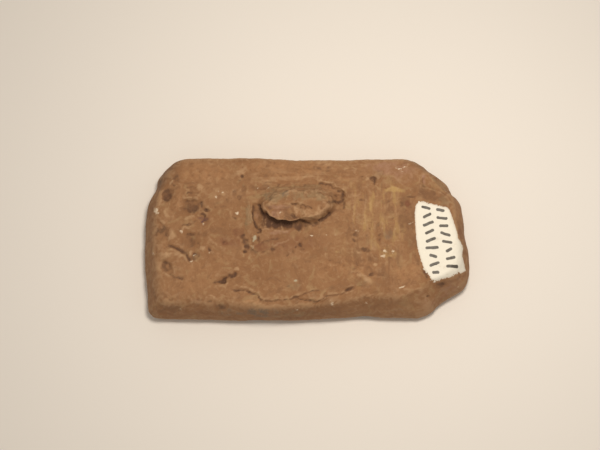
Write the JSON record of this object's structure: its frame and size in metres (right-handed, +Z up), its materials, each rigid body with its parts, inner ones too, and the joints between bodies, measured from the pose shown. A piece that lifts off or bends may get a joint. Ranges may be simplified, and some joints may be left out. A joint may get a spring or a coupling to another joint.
{
  "type": "clay seal",
  "caption": "Flat oblong clay stamp seal lying on its carved face, with worn and broken corners and the stump of a broken lug handle on its back.",
  "frame": {"origin": "middle of the slab's outline, on the plane of the stamping face that it lies on", "axes": "+X along the slab, from the whole end to the end with two broken corners; +Z up, out of the back that carries the handle's stump; +Y across, towards the side that the stump stands nearer to"},
  "size_m": [0.0754, 0.0382, 0.0138],
  "materials": {
    "fired_clay": "unglazed fired clay, matt, brown with darker stains and pale wear, and a white painted patch with dark ink strokes at one end"
  },
  "bodies": {
    "root": {"clay_seal": "fired_clay"}
  },
  "joints": []
}
